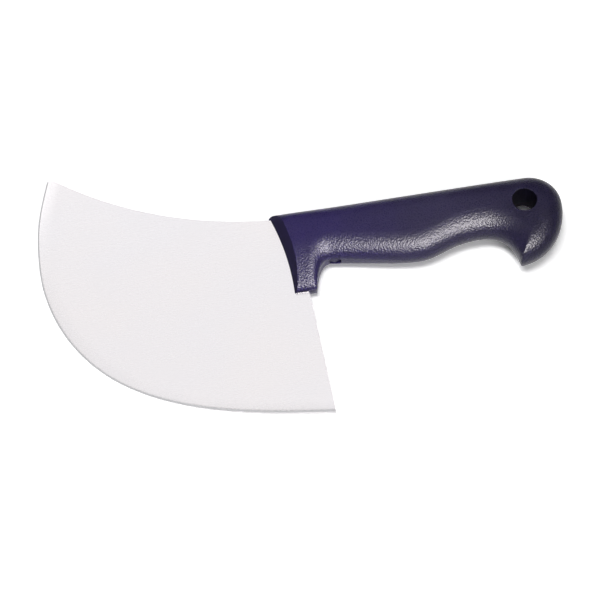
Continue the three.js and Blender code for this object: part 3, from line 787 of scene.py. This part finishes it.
class KNIFE_OT_handle(bpy.types.Operator):
    """Models the moulded handle with its guard, finger groove, hook and hang hole"""

    bl_idname = "knife.handle"
    bl_label = "Handle"

    def execute(self, context):
        handle = context.scene.knife_handle
        x, y, height, slanted = handle_shell(handle)
        bpy.ops.object.select_all(action="DESELECT")
        bpy.ops.mesh.primitive_grid_add(
            x_subdivisions=x.shape[0] - 1, y_subdivisions=x.shape[1] - 1, size=2)
        body = started("moulded_handle")
        drawn = np.array([vertex.co for vertex in body.data.vertices])
        station = np.rint((drawn[:, 0] + 1) / 2 * (x.shape[0] - 1)).astype(int)
        across = np.rint((drawn[:, 1] + 1) / 2 * (x.shape[1] - 1)).astype(int)
        spot = (station, across)
        set_points(body, np.column_stack((slanted[spot], y[spot], height[spot])))
        close_on_sheet(body, x[spot])
        self.ease_front(body, handle)
        cut(body, hole_cutter(handle))
        cut(body, gate_cutter(handle))
        clean(body)
        body.data.materials.clear()
        body.data.materials.append(grained_plastic(handle))
        body.data.materials.append(smooth_plastic_shaded(handle))
        body.data.materials.append(bore_plastic_shaded(handle))
        # The hole's wall and the front face take the copies of the plastic that are darkened by painted
        # shade.
        for face in body.data.polygons:
            off_axis = math.hypot(face.center.x - handle.hole_x, face.center.y)
            if off_axis < handle.hole / 2 + 0.1 * handle.hole_ease:
                face.material_index = 2
            elif face.center.x < FRONT_FACES_X and face.normal.x < FRONT_FACING:
                face.material_index = 1
        only(body)
        bpy.ops.object.shade_smooth_by_angle(angle=math.radians(38))
        lay_down(body)
        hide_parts("handle")
        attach(body, "root")
        return {"FINISHED"}

    def ease_front(self, body, handle):
        """Rounds the edge between the front face and the sides."""
        only(body)
        bpy.ops.object.mode_set(mode="EDIT")
        bpy.ops.mesh.select_mode(type="EDGE")
        bpy.ops.mesh.select_all(action="DESELECT")
        shape = bmesh.from_edit_mesh(body.data)
        for line in shape.edges:
            front = any(
                face.normal.x < FRONT_FACING and face.calc_center_median().x < FRONT_EDGES_X
                for face in line.link_faces)
            line.select = front and line.calc_face_angle(0) > math.radians(25) and min(
                abs(vertex.co.z) for vertex in line.verts) > 1e-5
        shape.select_flush_mode()
        bmesh.update_edit_mesh(body.data)
        bpy.ops.mesh.bevel(
            offset=handle.front_ease, segments=3, profile=0.5, affect="EDGES", clamp_overlap=True)
        bpy.ops.object.mode_set(mode="OBJECT")


def table_white():
    """White table: plain white to light, and bright enough to the eye to read as paper white."""
    material = bpy.data.materials.new("table_white")
    material.use_nodes = True
    tree = material.node_tree
    tree.nodes.clear()
    plain = node(tree, "ShaderNodeBsdfDiffuse", {"Color": (0.9, 0.9, 0.9, 1)}).outputs[0]
    extra = node(tree, "ShaderNodeBsdfDiffuse", {"Color": (0.48, 0.48, 0.48, 1)}).outputs[0]
    paper = node(tree, "ShaderNodeAddShader", {0: plain, 1: extra}).outputs[0]
    ray = node(tree, "ShaderNodeLightPath")
    seen = node(tree, "ShaderNodeMath", {
        0: ray.outputs["Is Camera Ray"], 1: ray.outputs["Is Glossy Ray"]}, operation="MAXIMUM").outputs[0]
    seen = node(tree, "ShaderNodeMath", {
        0: seen, 1: ray.outputs["Is Transmission Ray"]}, operation="MAXIMUM").outputs[0]
    choice = node(tree, "ShaderNodeMixShader", {0: seen, 1: plain, 2: paper}).outputs[0]
    node(tree, "ShaderNodeOutputMaterial", {"Surface": choice})
    return material


def bearing(azimuth, elevation):
    """Direction from the knife to a place round it. Azimuth 0 is the side of the cutting edge."""
    flat = math.cos(elevation)
    return Vector((flat * math.sin(azimuth), -flat * math.cos(azimuth), math.sin(elevation)))


def lamp(name, azimuth, elevation, distance, size, power, shape="RECTANGLE", colour=(1, 1, 1)):
    """A soft lamp that faces the knife."""
    way = bearing(azimuth, elevation)
    bpy.ops.object.light_add(type="AREA", location=way * distance)
    made = bpy.context.object
    made.name = made.data.name = name
    made.data.shape = shape
    made.data.size, made.data.size_y = size
    made.data.energy = power
    made.data.color = colour
    made.rotation_euler = way.to_track_quat("Z", "Y").to_euler()
    return made


def mirrored_in(made, name):
    """Lets a lamp show only as a reflection in one piece."""
    made.visible_camera = made.visible_diffuse = False
    made.light_linking.receiver_collection = bpy.data.collections.new(made.name)
    made.light_linking.receiver_collection.objects.link(bpy.data.objects[name])


class KNIFE_OT_stage(bpy.types.Operator):
    """Sets the white table, the soft light and the camera"""

    bl_idname = "knife.stage"
    bl_label = "Stage"

    def execute(self, context):
        stage = context.scene.knife_stage
        bpy.ops.object.select_all(action="DESELECT")
        bpy.ops.mesh.primitive_plane_add(size=stage.table, location=(0, 0, -TABLE_DROP))
        table = started("table")
        bpy.ops.object.transform_apply(location=True, rotation=True, scale=True)
        table.data.materials.append(table_white())
        self.sky(context.scene, stage)
        self.lamps(stage)
        self.camera(context.scene, stage)
        context.scene.view_settings.view_transform = "Standard"
        return {"FINISHED"}

    def sky(self, scene, stage):
        """A white room that dims away from its brightest side, and is plain white to the eye."""
        world = bpy.data.worlds.new("studio_sky")
        scene.world = world
        world.use_nodes = True
        tree = world.node_tree
        tree.nodes.clear()
        way = node(tree, "ShaderNodeTexCoord").outputs["Generated"]
        bright = bearing(stage.sky_azimuth, stage.sky_elevation)
        near = node(
            tree, "ShaderNodeVectorMath", {0: way, 1: bright}, operation="DOT_PRODUCT").outputs["Value"]
        level = ranged(tree, near, 0.4, 1.0, stage.horizon, stage.sky)
        light = node(tree, "ShaderNodeBackground", {"Color": (1, 1, 1, 1), "Strength": level}).outputs[0]
        white = node(tree, "ShaderNodeBackground", {"Color": (1, 1, 1, 1), "Strength": 1.0}).outputs[0]
        seen = node(tree, "ShaderNodeLightPath").outputs["Is Camera Ray"]
        choice = node(tree, "ShaderNodeMixShader", {0: seen, 1: light, 2: white}).outputs[0]
        node(tree, "ShaderNodeOutputWorld", {"Surface": choice})

    def lamps(self, stage):
        """Three lamps that light the scene, and boards and a strip that one piece alone mirrors."""
        for name, azimuth, elevation, size, power in (
            ("key_light", stage.key_azimuth, stage.key_elevation, 0.36, stage.key_power),
            ("fill_light", stage.fill_azimuth, stage.fill_elevation, 0.8, stage.fill_power),
            ("side_light", stage.side_azimuth, stage.side_elevation, 0.5, stage.side_power),
        ):
            made = lamp(name, azimuth, elevation, LAMP_DISTANCE, (size, size), power, "DISK")
            made.visible_glossy = False
        board = lamp(
            "white_board", math.pi, stage.board_elevation, BOARD_DISTANCE, (1.5, 1.15), stage.board_power)
        mirrored_in(board, "crescent_blade")
        for number in range(4):
            low = lamp(
                f"low_board_{number}", number * math.pi / 2, stage.low_elevation, LOW_BOARD_DISTANCE,
                (2.4, 1.3), stage.low_power)
            mirrored_in(low, "crescent_blade")
        band = lamp(
            "strip_light", stage.band_azimuth, stage.band_elevation, STRIP_DISTANCE, (0.62, 0.42),
            stage.band_power, colour=(1, 0.965, 0.93))
        mirrored_in(band, "moulded_handle")

    def camera(self, scene, stage):
        """A camera at the aim's distance, as wide as the image needs."""
        way = bearing(stage.azimuth, stage.elevation)
        bpy.ops.object.camera_add(location=Vector(stage.aim) + way * stage.distance)
        camera = bpy.context.object
        camera.rotation_euler = way.to_track_quat("Z", "Y").to_euler()
        camera.data.sensor_width = SENSOR_WIDTH
        camera.data.lens = SENSOR_WIDTH * stage.distance / (IMAGE_WIDTH * stage.pixel)
        camera.data.clip_end = 20
        scene.camera = camera


class KNIFE_PT_parts(bpy.types.Panel):
    """Lists the knife's pieces and their sizes"""

    bl_idname = "KNIFE_PT_parts"
    bl_label = "Pastry Knife"
    bl_space_type = "VIEW_3D"
    bl_region_type = "UI"
    bl_category = "Knife"

    def draw(self, context):
        for operator, settings in (
            (KNIFE_OT_blade, context.scene.knife_blade),
            (KNIFE_OT_handle, context.scene.knife_handle),
            (KNIFE_OT_stage, context.scene.knife_stage),
        ):
            box = self.layout.box()
            box.operator(operator.bl_idname)
            for key in settings.__annotations__:
                box.prop(settings, key)


SETTINGS = {"knife_blade": BladeSettings, "knife_handle": HandleSettings, "knife_stage": StageSettings}
CLASSES = (*SETTINGS.values(), KNIFE_OT_blade, KNIFE_OT_handle, KNIFE_OT_stage, KNIFE_PT_parts)


def register():
    for cls in CLASSES:
        bpy.utils.register_class(cls)
    for name, cls in SETTINGS.items():
        setattr(bpy.types.Scene, name, PointerProperty(type=cls))


def unregister():
    for name in SETTINGS:
        delattr(bpy.types.Scene, name)
    for cls in reversed(CLASSES):
        bpy.utils.unregister_class(cls)


def main():
    register()
    bpy.ops.knife.blade()
    bpy.ops.knife.handle()
    bpy.ops.knife.stage()


if __name__ == "__main__":
    main()
